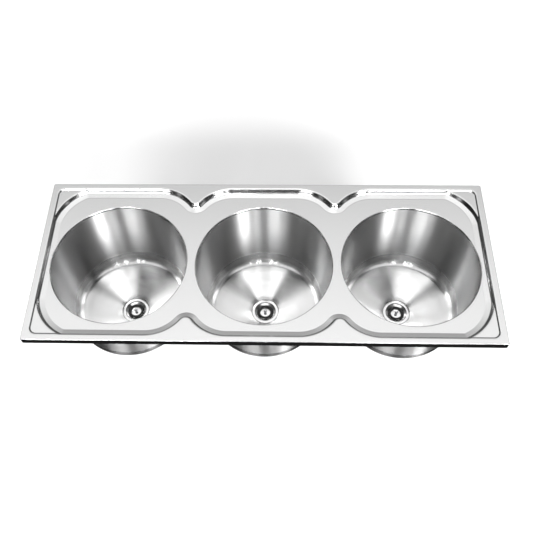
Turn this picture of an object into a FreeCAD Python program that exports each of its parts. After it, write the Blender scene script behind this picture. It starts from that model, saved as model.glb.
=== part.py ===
import FreeCAD, Part
import math
import os

# Three-bowl sink top, millimetres. Origin: centre of the deck outline, on the plane that the rim rests on.
# +X runs along the deck, +Y to its back edge, +Z up. The border's top is one rim depth above the origin.

# deck
deckLength = 1180.0
deckWidth = 480.0
rimDepth = 20.0            # height of the turned-down rim
sheet = 1.0                # thickness of the stainless sheet
rimCorner = 4.0            # plan radius of the deck's corners
rimFold = 1.5              # outside radius of the fold along the rim
returnWidth = 10.0         # inward return at the foot of the rim
returnLift = 2.0           # the return's underside above the seating plane

# stepped recess
stepOne = 4.0              # drop from the border to the corner flats
stepTwo = 11.0             # drop from the corner flats to the deck floor
borderEnd = 17.0           # border width at the sides
borderLong = 17.0          # border width at the front and back
recessCorner = 18.0        # plan radius of the first step
slopeOne = 1.6             # how far the first step's wall leans in
slopeTwo = 3.9             # how far the second step's wall leans in
lobeInset = 130.0          # outer corner arc: its centre from the recess side
lobeDrop = 120.0           # outer corner arc: its centre from the recess front or back
lobeRadius = 131.0         # outer corner arc's radius
bayRadius = 112.0          # arcs that lead into the points between two bowls
tipRadius = 16.0           # rounding of those points
tipReach = 50.5            # how far those points stand into the recess

# bowls
bowlPitch = 379.7
bowlShift = -7.3           # bowl axes in front of the deck's middle
mouthRadius = 178.0
mouthRound = 3.0           # rounded edge from the deck floor into the bowl
collarDepth = 6.0          # collar pressed down from the deck, which the bowl is welded to
wallFootRadius = 162.2     # inside radius where the wall meets the corner round
wallFootDrop = 232.3       # depth of that point under the border
floorEdgeRadius = 142.7    # inside radius where the corner round meets the floor
floorEdgeDrop = 258.3
floorHoleRadius = 31.5
seatRadius = 39.4          # sunk seat for the strainer flange
seatDrop = 282.0           # depth of the seat's face under the border
seatLip = 2.6              # height of the step round the seat

# waste
flangeRadius = 38.0
flangeInner = 30.0
gasketThick = 1.2
gasketInner = 32.0
throatRadius = 21.7        # inside radius of the strainer dish's cup
dishSheet = 1.0
dishStep = 2.4             # drop inside the flange's raised ring
dishConeDrop = 4.0         # fall of the cone from the ring to the throat
cupDepth = 21.0            # depth of the cup under the cone
cupHoles = 8
cupHoleRadius = 3.0
cupHolePitch = 14.0
underGasketThick = 2.0
bodyRadius = 41.0
bodyWall = 3.0
bodyDeep = 36.0            # straight part of the waste body
bodyTaper = 14.0           # cone down to the spigot
spigotRadius = 23.9
spigotBore = 20.0
spigotLength = 24.0
bossRadius = 7.0
bossLength = 14.0
ribThick = 3.0
insertRadius = 4.5
screwRadius = 3.0
screwHeadRadius = 6.0
screwHeadHeight = 2.6
screwLength = 15.5

# lift-out basket
plugThick = 1.2
plugSink = 3.6             # the plug's face under the seal's top
sealRadius = 21.0
sealThick = 2.4
sealGap = 0.4              # the seal's clearance above the cone
skirtRadius = 15.2         # basket wall; the seal is stretched round its upper end
skirtLength = 13.0
skirtSheet = 0.8
skirtSlots = 12
slotWide = 2.6
slotTall = 8.0
stemRadius = 2.2
ballRadius = 4.6
ballHeight = 9.5           # ball centre above the plug

# fixings
railHalf = 495.0
railOffset = 203.0         # rail's middle from the deck's long axis
railWide = 14.0
railTall = 9.0
railLip = 3.0
clipWide = 11.0            # as wide as its head, so that it turns inside the rail
clipSheet = 2.0
clipDrop = 30.0            # worktop side of the clip's arm under the seating plane
clipArm = 32.0             # arm's length from the leg
clipPlaces = (-440.0, -250.0, 250.0, 440.0)
clipScrewRadius = 2.4
clipScrewLength = 16.0
clipScrewOut = 21.0        # screw's distance from the leg
clipScrewRise = 5.0        # how far the screw's tip stands over the arm
sealWide = 9.0

deckFloor = rimDepth - stepOne - stepTwo
recessX = deckLength / 2 - borderEnd
recessY = deckWidth / 2 - borderLong
sides = {"left": -bowlPitch, "middle": 0.0, "right": bowlPitch}
up = FreeCAD.Vector(0, 0, 1)


def point(x, y, z=0.0):
    return FreeCAD.Vector(x, y, z)


def save(shape, node):
    if not shape.isValid():
        raise ValueError("%s is not a valid shape" % node)
    shape.exportStep("parts/%s.step" % node)
    print("%-24s %2d solid  %10.1f mm3" % (node, len(shape.Solids), shape.Volume))


def arc(centre, radius, startDegrees, endDegrees):
    """An arc in plan, from one angle to the other about a centre."""
    angles = [math.radians(startDegrees + (endDegrees - startDegrees) * k / 2) for k in range(3)]
    ends = [point(centre[0] + radius * math.cos(a), centre[1] + radius * math.sin(a)) for a in angles]
    return Part.Arc(*ends).toShape()


def chain(arcs, z):
    """One closed plan outline: the arcs in order, joined by straight edges."""
    edges = []
    for k, piece in enumerate(arcs):
        before = arcs[k - 1].Vertexes[-1].Point
        if before.distanceToPoint(piece.Vertexes[0].Point) > 1e-6:
            edges.append(Part.makeLine(before, piece.Vertexes[0].Point))
        edges.append(piece)
    wire = Part.Wire(Part.__sortEdges__(edges))
    wire.translate(point(0, 0, z))
    return wire


def roundedOutline(halfX, halfY, radius, z):
    corners = []
    for k, (sx, sy) in enumerate(((1, 1), (-1, 1), (-1, -1), (1, -1))):
        centre = (sx * (halfX - radius), sy * (halfY - radius))
        corners.append(arc(centre, radius, 90 * k, 90 * k + 90))
    return chain(corners, z)


def stepOutline(inset, z, square):
    """One step's outline, drawn in by an inset. It runs anticlockwise from the right side.

    Both steps come to the same points between the bowls. The first has small square-set corners,
    and the second has a large arc round each outer bowl."""
    x, y = recessX - inset, recessY - inset
    if square:
        bend = recessCorner - inset
        bendX, bendY = x - bend, y - bend
        start, end = 0.0, 90.0
    else:
        bend = lobeRadius - inset
        bendX, bendY = recessX - lobeInset, recessY - lobeDrop
        start = math.degrees(math.acos((x - bendX) / bend))
        end = math.degrees(math.asin((y - bendY) / bend))
    bayY = recessY - bayRadius
    tipY = recessY - tipReach + tipRadius
    reach = math.sqrt((bayRadius + tipRadius) ** 2 - (tipY - bayY) ** 2)
    lean = math.degrees(math.atan2(tipY - bayY, reach))
    bay, tip = bayRadius - inset, tipRadius + inset

    def cusp(middle, turn):
        """Arc, point and arc between two bowls, for the back edge or, turned half round, the front."""
        sign = math.cos(math.radians(turn))
        spot = (middle, sign * tipY)
        bays = [(middle + sign * reach, sign * bayY), (middle - sign * reach, sign * bayY)]
        return [arc(bays[0], bay, 90 + turn, 180 - lean + turn),
                arc(spot, tip, -lean + turn, lean - 180 + turn),
                arc(bays[1], bay, lean + turn, 90 + turn)]

    middles = (bowlPitch / 2, -bowlPitch / 2)
    arcs = [arc((bendX, bendY), bend, start, end)]
    for middle in middles:
        arcs += cusp(middle, 0)
    arcs.append(arc((-bendX, bendY), bend, 180 - end, 180 - start))
    arcs.append(arc((-bendX, -bendY), bend, 180 + start, 180 + end))
    for middle in reversed(middles):
        arcs += cusp(middle, 180)
    arcs.append(arc((bendX, -bendY), bend, -end, -start))
    return chain(arcs, z)


def between(lower, upper):
    return Part.makeLoft([lower, upper], True, True)


def revolve(profile, x=0.0, y=0.0):
    """A solid of revolution. The profile lists (radius, height) points, or three of them for an arc."""
    edges = []
    start = profile[0]
    for step in list(profile[1:]) + [profile[0]]:
        if len(step) == 2:
            edges.append(Part.makeLine(point(start[0], 0, start[1]), point(step[0], 0, step[1])))
            start = step
        else:
            middle, end = step[:2], step[2:]
            through = [point(p[0], 0, p[1]) for p in (start, middle, end)]
            edges.append(Part.Arc(*through).toShape())
            start = end
    solid = Part.Face(Part.Wire(edges)).revolve(point(0, 0), up, 360)
    solid.translate(point(x, y))
    return solid


def tube(outer, inner, low, high, x=0.0, y=0.0):
    return revolve([(inner, low), (outer, low), (outer, high), (inner, high)], x, y)


def rod(radius, low, high, x=0.0, y=0.0):
    return Part.makeCylinder(radius, high - low, point(x, y, low))


def slab(x0, x1, y0, y1, z0, z1):
    return Part.makeBox(x1 - x0, y1 - y0, z1 - z0, point(x0, y0, z0))


def joined(first, *others):
    return first.fuse(list(others)).removeSplitter()


def recess(grow):
    """The two-level hollow pressed into the deck. A growth of one sheet gives its underside."""
    levelOne, levelTwo = rimDepth - stepOne - grow, deckFloor - grow
    top = rimDepth + 1.0
    lean = slopeOne / stepOne
    upper = between(stepOutline(slopeOne - grow, levelOne, True), stepOutline(-lean - grow, top, True))
    lower = between(stepOutline(slopeOne + slopeTwo - grow, levelTwo, False),
                    stepOutline(slopeOne - grow, levelOne, False))
    return joined(upper, lower)


def plate(inset, low, high):
    """A block with the deck's outline, drawn in by an inset."""
    radius = max(rimCorner - inset, 1.0)
    outline = roundedOutline(deckLength / 2 - inset, deckWidth / 2 - inset, radius, low)
    return Part.Face(outline).extrude(point(0, 0, high - low))


def collar(x):
    """Rounded edge and short collar round one bowl mouth."""
    centre, foot = mouthRadius + mouthRound, deckFloor - collarDepth
    half = math.sqrt(0.5)
    inner = mouthRound - sheet
    turn = deckFloor - mouthRound
    return revolve([(centre, deckFloor),
                    (centre - mouthRound * half, turn + mouthRound * half, mouthRadius, turn),
                    (mouthRadius, foot), (mouthRadius + sheet, foot), (mouthRadius + sheet, turn),
                    (centre - inner * half, turn + inner * half, centre, deckFloor - sheet)],
                   x, bowlShift)


def deck():
    outer = plate(0, 0, rimDepth)
    fold = [e for e in outer.Edges if min(v.Z for v in e.Vertexes) > rimDepth - 1e-6]
    outer = outer.makeFillet(rimFold, fold)
    hollow = plate(sheet, -1, rimDepth - sheet).cut(recess(sheet))
    shell = outer.cut(recess(0)).cut(hollow)
    ledge = plate(sheet, returnLift, returnLift + sheet)
    ledge = ledge.cut(plate(sheet + returnWidth, returnLift - 1, returnLift + sheet + 1))
    shell = shell.fuse(ledge)
    for x in sides.values():
        hole = rod(mouthRadius + mouthRound, deckFloor - 5, rimDepth, x, bowlShift)
        shell = shell.cut(hole).fuse(collar(x))
    return shell.removeSplitter()


def bowlProfile():
    """Inside line of a bowl from its top edge to the floor hole, as corner points and one arc."""
    top = (mouthRadius, deckFloor - collarDepth)
    foot = (wallFootRadius, rimDepth - wallFootDrop)
    edge = (floorEdgeRadius, rimDepth - floorEdgeDrop)
    seat = rimDepth - seatDrop
    wallTurn = math.atan2(foot[0] - top[0], top[1] - foot[1])
    rim = (seatRadius, seat + seatLip)
    floorTurn = math.atan2(rim[1] - edge[1], edge[0] - rim[0])
    chord = math.atan2(edge[1] - foot[1], edge[0] - foot[0])
    span = math.hypot(edge[0] - foot[0], edge[1] - foot[1])
    sweep = math.pi / 2 + wallTurn + floorTurn
    sag = span / 2 * math.tan(sweep / 4)
    middle = ((foot[0] + edge[0]) / 2 - sag * math.sin(chord), (foot[1] + edge[1]) / 2 + sag * math.cos(chord))
    return top, foot, middle, edge, rim, (seatRadius - 1.0, seat), (floorHoleRadius, seat)


def bowl(x):
    top, foot, middle, edge, rim, seat, hole = bowlProfile()
    below = sheet
    slant = sheet * 0.72
    inside = [top, foot, middle + edge, rim, seat, hole]
    outside = [(hole[0], hole[1] - below), (seat[0] + below, seat[1] - below),
               (rim[0] + below, rim[1] - below), (edge[0] + 0.2, edge[1] - below),
               (middle[0] + slant, middle[1] - slant, foot[0] + below, foot[1]), (top[0] + below, top[1])]
    return revolve(inside + outside, x, bowlShift)


def waste(side, x):
    """The fixed pieces of one waste, from the flange down to the outlet spigot."""
    y = bowlShift
    seat = rimDepth - seatDrop
    flange = seat + gasketThick
    save(tube(flangeRadius - 0.5, gasketInner, seat, flange, x, y), "flange_gasket_" + side)

    ring = flange + dishSheet
    ledge = ring - dishStep
    throat = ledge - dishConeDrop
    cup = throat - cupDepth
    t = dishSheet
    coneRadius = flangeInner - 1.0
    dish = revolve([(flangeRadius, flange), (flangeRadius, ring - 0.3), (flangeRadius - 0.7, ring),
                    (flangeInner, ring), (coneRadius, ledge), (throatRadius, throat),
                    (throatRadius, cup + t), (0, cup + t), (0, cup), (throatRadius + t, cup),
                    (throatRadius + t, throat - 0.5), (coneRadius + t, ledge - 0.5), (coneRadius + t, flange)],
                   x, y)
    holes = [rod(cupHoleRadius, cup - 1, cup + t + 1, x + cupHolePitch * math.cos(a), y + cupHolePitch * math.sin(a))
             for a in (2 * math.pi * k / cupHoles for k in range(cupHoles))]
    holes.append(rod(screwRadius + 0.2, cup - 1, cup + t + 1, x, y))
    save(dish.cut(holes), "strainer_dish_" + side)

    under = seat - sheet
    bodyTop = under - underGasketThick
    save(tube(bodyRadius - 1.5, gasketInner, bodyTop, under, x, y), "under_gasket_" + side)

    inner = bodyRadius - 5.0 - bodyWall
    shoulder = bodyTop - bodyDeep
    neck = shoulder - bodyTaper
    end = neck - spigotLength
    funnel = revolve([(inner, bodyTop), (bodyRadius, bodyTop), (bodyRadius, bodyTop - bodyWall),
                      (bodyRadius - 5, bodyTop - bodyWall), (bodyRadius - 5, shoulder), (spigotRadius, neck),
                      (spigotRadius, end), (spigotBore, end), (spigotBore, neck), (inner, shoulder)], x, y)
    bossTop = cup
    boss = rod(bossRadius, bossTop - bossLength, bossTop, x, y)
    ribs = [slab(x - inner - 1, x + inner + 1, y - ribThick / 2, y + ribThick / 2, shoulder + 1, bossTop),
            slab(x - ribThick / 2, x + ribThick / 2, y - inner - 1, y + inner + 1, shoulder + 1, bossTop)]
    body = joined(funnel, boss, *ribs)
    insertTop = bossTop - 1.0
    body = body.cut([rod(insertRadius, bossTop - bossLength - 1, insertTop, x, y),
                     rod(screwRadius + 0.2, bossTop - 2, bossTop + 1, x, y)])
    save(body, "waste_body_" + side)
    save(tube(insertRadius, screwRadius, bossTop - bossLength, insertTop, x, y), "insert_nut_" + side)

    headFoot = cup + t
    head = Part.makeCylinder(screwHeadRadius, screwHeadHeight, point(x, y, headFoot))
    crown = [e for e in head.Edges if e.BoundBox.ZMin > headFoot + 1 and e.Closed]
    head = head.makeFillet(0.9, crown)
    slot = slab(x - 0.6, x + 0.6, y - 5, y + 5, headFoot + screwHeadHeight - 1.0, headFoot + screwHeadHeight + 1)
    shank = rod(screwRadius, headFoot + 1 - screwLength, headFoot + 1, x, y)
    save(joined(head.cut(slot), shank), "clamp_screw_" + side)
    return throat


def basket(side, x, throat):
    """The lift-out basket: sunk plug with a slotted wall, rubber seal, and the ball it is lifted by."""
    y = bowlShift
    sealFoot = throat + sealGap
    sealTop = sealFoot + sealThick
    save(revolve([(skirtRadius, sealFoot), (sealRadius - 0.8, sealFoot), (sealRadius, sealFoot + 0.8),
                  (sealRadius, sealTop - 0.8), (sealRadius - 0.8, sealTop), (skirtRadius, sealTop)], x, y),
         "basket_seal_" + side)

    top = sealTop - plugSink
    plugFoot = top - plugThick
    skirtFoot = plugFoot - skirtLength
    inside = skirtRadius - skirtSheet
    floor = skirtFoot + skirtSheet
    plug = revolve([(stemRadius, top + 0.6), (inside - 1.2, top), (inside, top), (inside, sealTop),
                    (skirtRadius, sealTop), (skirtRadius, skirtFoot), (6.0, skirtFoot), (6.0, floor),
                    (inside, floor), (inside, plugFoot), (stemRadius, plugFoot)], x, y)
    middle = (plugFoot + skirtFoot) / 2
    slots = []
    for k in range(skirtSlots // 2):
        cut = slab(-skirtRadius - 2, skirtRadius + 2, -slotWide / 2, slotWide / 2,
                   middle - slotTall / 2, middle + slotTall / 2)
        cut.rotate(point(0, 0), up, 360.0 * k / skirtSlots)
        cut.translate(point(x, y))
        slots.append(cut)
    save(plug.cut(slots), "basket_" + side)

    ball = Part.makeSphere(ballRadius, point(x, y, top + ballHeight))
    stem = rod(stemRadius, plugFoot - 2, top + ballHeight, x, y)
    collarRing = rod(stemRadius + 1.6, plugFoot - 2, plugFoot, x, y)
    save(joined(ball, stem, collarRing), "basket_knob_" + side)


def rail(sign):
    """One clip rail: a channel open downwards, with lips that the clips hook behind."""
    top = deckFloor - sheet
    middle = sign * railOffset
    half = railWide / 2
    block = slab(-railHalf, railHalf, middle - half, middle + half, top - railTall, top)
    inside = slab(-railHalf - 1, railHalf + 1, middle - half + sheet, middle + half - sheet,
                  top - railTall + sheet, top - sheet)
    mouth = slab(-railHalf - 1, railHalf + 1, middle - half + railLip, middle + half - railLip,
                 top - railTall - 1, top - railTall + sheet + 1)
    return block.cut([inside, mouth])


def clip(x, sign):
    """One fixing clip, parked along its rail: a head behind the rail's lips, a leg, and an arm."""
    y = sign * railOffset
    railFoot = deckFloor - sheet - railTall
    half, thick = clipWide / 2, clipSheet / 2
    inward = -math.copysign(1.0, x)
    head = slab(x - half, x + half, y - half, y + half, railFoot + sheet, railFoot + sheet + clipSheet)
    leg = slab(x - thick, x + thick, y - railWide / 2 + railLip + 0.5, y + railWide / 2 - railLip - 0.5,
               -clipDrop - clipSheet, railFoot + sheet)
    ends = sorted((x - inward * thick, x + inward * clipArm))
    arm = slab(ends[0], ends[1], y - half, y + half, -clipDrop - clipSheet, -clipDrop)
    screwX = x + inward * clipScrewOut
    boss = rod(clipScrewRadius + 2.2, -clipDrop - clipSheet - 3, -clipDrop, screwX, y)
    hole = rod(clipScrewRadius, -clipDrop - clipSheet - 4, -clipDrop + 1, screwX, y)
    return joined(head, leg, arm, boss).cut(hole)


def clipScrew(x, sign):
    x -= math.copysign(clipScrewOut, x)
    y = sign * railOffset
    tip = -clipDrop + clipScrewRise
    foot = tip - clipScrewLength
    shank = rod(clipScrewRadius, foot, tip, x, y)
    head = rod(clipScrewRadius + 2.1, foot - 2.5, foot, x, y)
    slot = slab(x - 5, x + 5, y - 0.6, y + 0.6, foot - 3.5, foot - 1.4)
    return joined(shank, head).cut(slot)


def fixings():
    save(rail(-1), "clip_rail_front")
    save(rail(1), "clip_rail_back")
    places = [(x, sign) for sign in (-1, 1) for x in clipPlaces]
    save(Part.makeCompound([clip(x, sign) for x, sign in places]), "fixing_clips")
    save(Part.makeCompound([clipScrew(x, sign) for x, sign in places]), "clip_screws")
    outer = plate(sheet, 0, returnLift)
    save(outer.cut(plate(sheet + sealWide, -1, returnLift + 1)), "rim_seal")


def main():
    os.makedirs("parts", exist_ok=True)
    save(deck(), "deck")
    for side, x in sides.items():
        save(bowl(x), "bowl_" + side)
        throat = waste(side, x)
        basket(side, x, throat)
    fixings()


main()
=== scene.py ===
import math

import bmesh
import bpy
import numpy as np
from mathutils import Matrix, Vector
from mathutils.geometry import delaunay_2d_cdt


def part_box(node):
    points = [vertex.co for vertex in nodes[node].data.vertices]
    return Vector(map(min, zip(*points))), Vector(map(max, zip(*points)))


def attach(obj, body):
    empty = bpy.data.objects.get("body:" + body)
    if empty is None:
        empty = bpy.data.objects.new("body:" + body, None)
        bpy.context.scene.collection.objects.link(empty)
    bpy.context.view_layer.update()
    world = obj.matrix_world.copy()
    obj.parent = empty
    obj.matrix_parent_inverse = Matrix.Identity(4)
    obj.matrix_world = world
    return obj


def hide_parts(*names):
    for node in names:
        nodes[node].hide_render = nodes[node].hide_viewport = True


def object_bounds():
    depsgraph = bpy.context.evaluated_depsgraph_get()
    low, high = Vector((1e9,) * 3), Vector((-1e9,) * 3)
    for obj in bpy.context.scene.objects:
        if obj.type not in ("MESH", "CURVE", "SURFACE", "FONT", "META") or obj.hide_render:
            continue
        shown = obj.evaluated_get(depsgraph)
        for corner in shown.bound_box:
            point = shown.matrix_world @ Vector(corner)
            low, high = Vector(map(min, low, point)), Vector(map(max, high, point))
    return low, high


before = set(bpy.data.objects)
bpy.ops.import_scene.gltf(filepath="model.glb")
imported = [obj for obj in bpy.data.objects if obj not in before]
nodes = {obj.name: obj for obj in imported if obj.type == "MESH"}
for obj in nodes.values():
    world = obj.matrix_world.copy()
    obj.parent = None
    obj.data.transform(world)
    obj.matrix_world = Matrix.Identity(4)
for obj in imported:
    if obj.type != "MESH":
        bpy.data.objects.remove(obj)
cadLow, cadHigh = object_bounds()
print("frame loaded with", len(nodes), "nodes")

mm = 0.001
sides = ("left", "middle", "right")


def boxOf(node):
    low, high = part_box(node)
    return [v / mm for v in low], [v / mm for v in high]


def axisOf(node):
    low, high = boxOf(node)
    return (low[0] + high[0]) / 2, (low[1] + high[1]) / 2


# Materials: one function for colours and one that adds a node with its settings and links.

def linear(hexText, alpha=1.0):
    parts = [int(hexText[k:k + 2], 16) / 255 for k in (1, 3, 5)]
    return [c / 12.92 if c <= 0.04045 else ((c + 0.055) / 1.055) ** 2.4 for c in parts] + [alpha]


def addNode(tree, kind, settings=None, values=None, links=None):
    node = tree.nodes.new("ShaderNode" + kind)
    for name, value in (settings or {}).items():
        setattr(node, name, value)
    for name, value in (values or {}).items():
        node.inputs[name].default_value = value
    for name, source in (links or {}).items():
        tree.links.new(source, node.inputs[name])
    return node


def startMaterial(name, values):
    material = bpy.data.materials.new(name)
    material.use_nodes = True
    tree = material.node_tree
    shader = tree.nodes["Principled BSDF"]
    for socket, value in values.items():
        shader.inputs[socket].default_value = value
    return material, tree, shader


def patternPlace(tree, sizeMm):
    place = addNode(tree, "TexCoord")
    scale = tuple(1 / (s * mm) for s in sizeMm)
    return addNode(tree, "Mapping", values={"Scale": scale}, links={"Vector": place.outputs["Object"]})


def remap(tree, source, low, high, fromLow=0.3, fromHigh=0.7):
    values = {"From Min": fromLow, "From Max": fromHigh, "To Min": low, "To Max": high}
    return addNode(tree, "MapRange", values=values, links={"Value": source}).outputs["Result"]


def calculate(tree, operation, first, second):
    node = addNode(tree, "Math", {"operation": operation}, links={0: first})
    if isinstance(second, (int, float)):
        node.inputs[1].default_value = second
    else:
        tree.links.new(second, node.inputs[1])
    return node.outputs["Value"]


def multiply(tree, first, second):
    return calculate(tree, "MULTIPLY", first, second)


def tint(tree, share, dark, light):
    node = addNode(tree, "Mix", {"data_type": "RGBA"}, links={"Factor": share})
    node.inputs[6].default_value = linear(dark)
    node.inputs[7].default_value = linear(light)
    return node.outputs[2]


def darkened(tree, colour, share):
    node = addNode(tree, "VectorMath", {"operation": "SCALE"}, links={0: colour, "Scale": share})
    return node.outputs["Vector"]


def noise(tree, sizeMm, detail, roughness=0.5):
    place = patternPlace(tree, sizeMm)
    node = addNode(tree, "TexNoise", values={"Scale": 1.0, "Detail": detail, "Roughness": roughness},
                   links={"Vector": place.outputs["Vector"]})
    return node.outputs["Fac"]


def raised(tree, shader, height, heightMm):
    bump = addNode(tree, "Bump", values={"Strength": 1.0, "Distance": heightMm * mm},
                   links={"Height": height})
    tree.links.new(bump.outputs["Normal"], shader.inputs["Normal"])


# the base colour's darkening on steep places is painted shade
steelSheet = {"light": "#d2d2d2", "dark": "#cbcbcb", "roughness": (0.15, 0.19), "grain": (90, 1.6, 1.6),
              "ripple": 210, "rippleHeight": 0.10, "pressed": 0.42, "steep": 0.60, "flat": 0.90}


def satinStainless():
    # 304 stainless sheet, belt-polished along its length: soft stretched reflections, a faint grain one way
    material, tree, shader = startMaterial("satinStainless", {"Metallic": 1.0, "Anisotropic": 0.3})
    grain = noise(tree, steelSheet["grain"], 3.0, 0.6)
    # painted shade: the base colour is darkened where the sheet is steep, so the walls of the pressed steps
    # look shaded
    facing = addNode(tree, "TexCoord").outputs["Normal"]
    upward = addNode(tree, "SeparateXYZ", links={"Vector": facing}).outputs["Z"]
    flatness = calculate(tree, "ABSOLUTE", upward, 0.0)
    shadeOrPolish = remap(tree, flatness, steelSheet["pressed"], 1.0, steelSheet["steep"], steelSheet["flat"])
    colour = tint(tree, grain, steelSheet["dark"], steelSheet["light"])
    tree.links.new(darkened(tree, colour, shadeOrPolish), shader.inputs["Base Color"])
    tree.links.new(remap(tree, grain, *steelSheet["roughness"]), shader.inputs["Roughness"])
    raised(tree, shader, noise(tree, (steelSheet["ripple"],) * 3, 1.0), steelSheet["rippleHeight"])
    tangent = addNode(tree, "CombineXYZ", values={"Y": 1.0})
    tree.links.new(tangent.outputs["Vector"], shader.inputs["Tangent"])
    return material


# the darker base colour of the bowl walls is painted shade
bowlSteel = {"light": "#dadada", "dark": "#d0d0d0", "wallShadeShare": 0.60, "wall": 0.31, "floor": 0.21,
             "uneven": 0.05, "turn": 2.2, "turnLength": 66, "floorTop": -205, "wallFoot": -190}


def drawnStainless():
    # deep-drawn stainless polished on a lathe: rings of grain smear the light into upright streaks
    material, tree, shader = startMaterial("drawnStainless", {"Metallic": 1.0, "Anisotropic": 1.0,
                                                              "Anisotropic Rotation": 0.25})
    grain = noise(tree, (bowlSteel["turnLength"], bowlSteel["turnLength"], bowlSteel["turn"]), 3.0, 0.6)
    place = addNode(tree, "TexCoord").outputs["Object"]
    height = addNode(tree, "SeparateXYZ", links={"Vector": place}).outputs["Z"]
    between = bowlSteel["floorTop"] * mm, bowlSteel["wallFoot"] * mm   # the floor changes to the wall here
    colour = tint(tree, grain, bowlSteel["dark"], bowlSteel["light"])
    # painted shade: the walls' base colour is darker than the floor's, set by height
    paintedWallShade = remap(tree, height, 1.0, bowlSteel["wallShadeShare"], *between)
    tree.links.new(darkened(tree, colour, paintedWallShade), shader.inputs["Base Color"])
    shadeOrPolish = remap(tree, height, bowlSteel["floor"], bowlSteel["wall"], *between)
    uneven = remap(tree, grain, -bowlSteel["uneven"] / 2, bowlSteel["uneven"] / 2)
    tree.links.new(calculate(tree, "ADD", shadeOrPolish, uneven), shader.inputs["Roughness"])
    around = addNode(tree, "Tangent", {"direction_type": "RADIAL", "axis": "Z"})
    tree.links.new(around.outputs["Tangent"], shader.inputs["Tangent"])
    return material


def polishedStainless():
    # pressed and buffed stainless: nearly mirror bright with a trace of buffing haze
    material, tree, shader = startMaterial("polishedStainless", {"Metallic": 1.0})
    haze = noise(tree, (3, 3, 3), 3.0)
    tree.links.new(tint(tree, haze, "#d0d0d0", "#dadada"), shader.inputs["Base Color"])
    tree.links.new(remap(tree, haze, 0.10, 0.17), shader.inputs["Roughness"])
    return material


def chromedBrass():
    # turned brass under bright chrome: a cool mirror with hardly any haze
    material, tree, shader = startMaterial("chromedBrass", {"Metallic": 1.0, "Base Color": linear("#dcdde0")})
    haze = noise(tree, (2, 2, 2), 2.0)
    tree.links.new(remap(tree, haze, 0.04, 0.08), shader.inputs["Roughness"])
    return material


def speckled(name, dark, light, sizeMm, roughness, heightMm, values=None):
    material, tree, shader = startMaterial(name, values or {})
    spots = noise(tree, (sizeMm,) * 3, 4.0)
    tree.links.new(tint(tree, remap(tree, spots, 0.0, 1.0), dark, light), shader.inputs["Base Color"])
    tree.links.new(remap(tree, spots, *roughness), shader.inputs["Roughness"])
    raised(tree, shader, spots, heightMm)
    return material


# moulded nitrile rubber: near black, soft grey sheen where light grazes it
mouldedRubber = speckled("mouldedRubber", "#161616", "#202020", 1.2, (0.42, 0.55), 0.02, {"IOR": 1.52})
# flat-cut rubber sheet: black with a dusty, matt face
cutRubber = speckled("cutRubber", "#1b1b1b", "#2a2a29", 1.5, (0.62, 0.75), 0.04, {"IOR": 1.52})
# closed-cell foam strip: dark grey with fine open pores on its cut faces
cellFoam = speckled("cellFoam", "#3a3a3a", "#565655", 0.9, (0.85, 0.95), 0.25, {"IOR": 1.45})
# moulded polypropylene: milky white, slightly waxy, with a fine spark-eroded texture
mouldedPolypropylene = speckled("mouldedPolypropylene", "#dcdcd8", "#e8e8e4", 1.0, (0.38, 0.48), 0.03,
                                {"IOR": 1.49, "Subsurface Weight": 0.08,
                                 "Subsurface Radius": (0.002, 0.002, 0.0018)})
# turned brass: warm yellow with a dull bloom
turnedBrass = speckled("turnedBrass", "#b5924c", "#cfae66", 1.0, (0.28, 0.40), 0.02, {"Metallic": 1.0})
# zinc-plated steel strip: bluish grey with a soft uneven passivated film
zincPlated = speckled("zincPlated", "#a9adb2", "#c3c6ca", 4.0, (0.30, 0.42), 0.02, {"Metallic": 1.0})
# mill-finish stainless channel: plain grey, duller than the polished sheet
millStainless = speckled("millStainless", "#b0b0ae", "#bfbfbd", 6.0, (0.34, 0.42), 0.02, {"Metallic": 1.0})
# bright stainless screw: clean and shiny, with a little grease haze
brightStainless = speckled("brightStainless", "#c0c0be", "#cecece", 2.0, (0.18, 0.28), 0.01,
                           {"Metallic": 1.0})
satin = satinStainless()
drawn = drawnStainless()
polished = polishedStainless()
chrome = chromedBrass()
print("materials made")


# Meshes: sizes are millimetres until a mesh is made.

def makeMesh(name, points, faces, angle=32):
    mesh = bpy.data.meshes.new(name)
    mesh.from_pydata([tuple(float(c) * mm for c in p) for p in points], [], faces)
    mesh.validate()
    mesh.shade_smooth()
    mesh.set_sharp_from_angle(angle=math.radians(angle))
    return mesh


def addPiece(name, mesh, material, body, slot, *stoodFor):
    piece = bpy.data.objects.new(name, mesh)
    bpy.context.scene.collection.objects.link(piece)
    mesh.materials.clear()
    mesh.materials.append(material)
    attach(piece, body)
    if stoodFor:
        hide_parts(*stoodFor)
    return piece


def threadRows(thread):
    # a plain line up the threaded length, ten points to each turn of the thread
    count = int(math.ceil((thread["high"] - thread["low"]) / thread["pitch"] * 10))
    return [(thread["radius"], thread["low"] + (thread["high"] - thread["low"]) * k / count, 0)
            for k in range(count + 1)]


def threadCut(thread, radius, height, a):
    # how deep a rounded thread is cut at a height and an angle, running out at both ends
    if not thread or radius < thread["radius"] - 0.01 or not thread["low"] < height < thread["high"]:
        return 0.0
    fade = min(1.0, (height - thread["low"]) / thread["pitch"], (thread["high"] - height) / thread["pitch"])
    return thread["depth"] * fade * (0.5 - 0.5 * math.cos(2 * math.pi * height / thread["pitch"] - a))


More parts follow.
